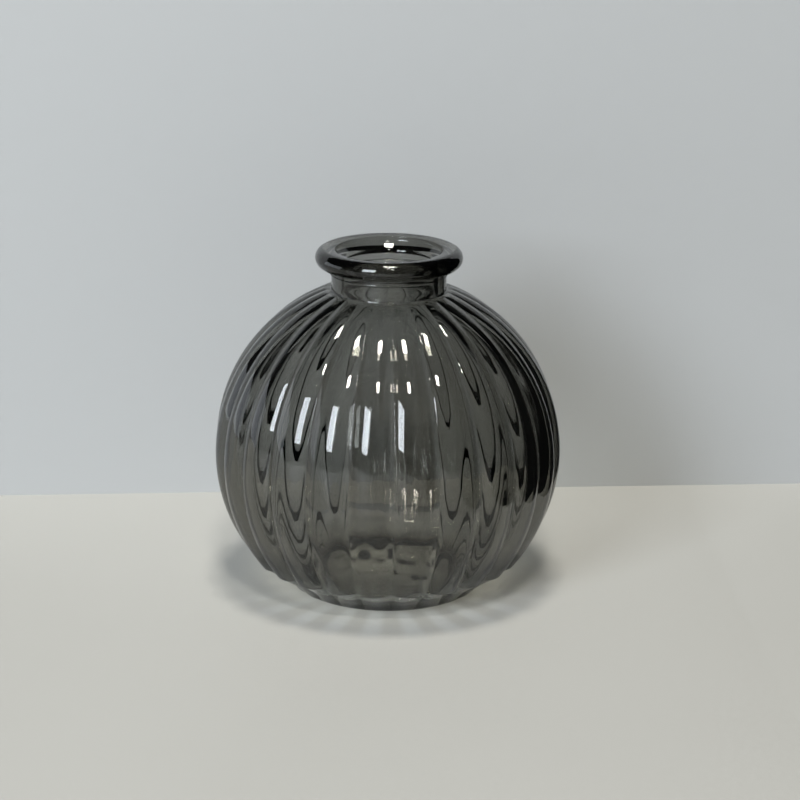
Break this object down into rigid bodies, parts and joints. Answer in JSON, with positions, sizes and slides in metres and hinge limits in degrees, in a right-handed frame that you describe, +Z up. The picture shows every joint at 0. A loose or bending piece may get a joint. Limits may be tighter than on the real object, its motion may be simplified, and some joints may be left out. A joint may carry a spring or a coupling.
{
  "type": "bud vase",
  "caption": "Round glass bud vase with a lobed globe body, a short straight neck and a rounded lip, for one or a few stems.",
  "frame": {"origin": "centre of the ring that the vase stands on, in the plane of the table", "axes": "+Z up along the vase's axis of revolution, out of the mouth; a valley between two lobes faces -Y"},
  "size_m": [0.0844, 0.0844, 0.0847],
  "materials": {
    "smoke_glass": "clear grey smoked glass, fire-polished and smooth, with soft mould waves"
  },
  "bodies": {
    "root": {"fluted_body": "smoke_glass", "neck": "smoke_glass", "lip": "smoke_glass", "heel": "smoke_glass", "foot_ring": "smoke_glass", "base_disc": "smoke_glass"}
  },
  "joints": []
}
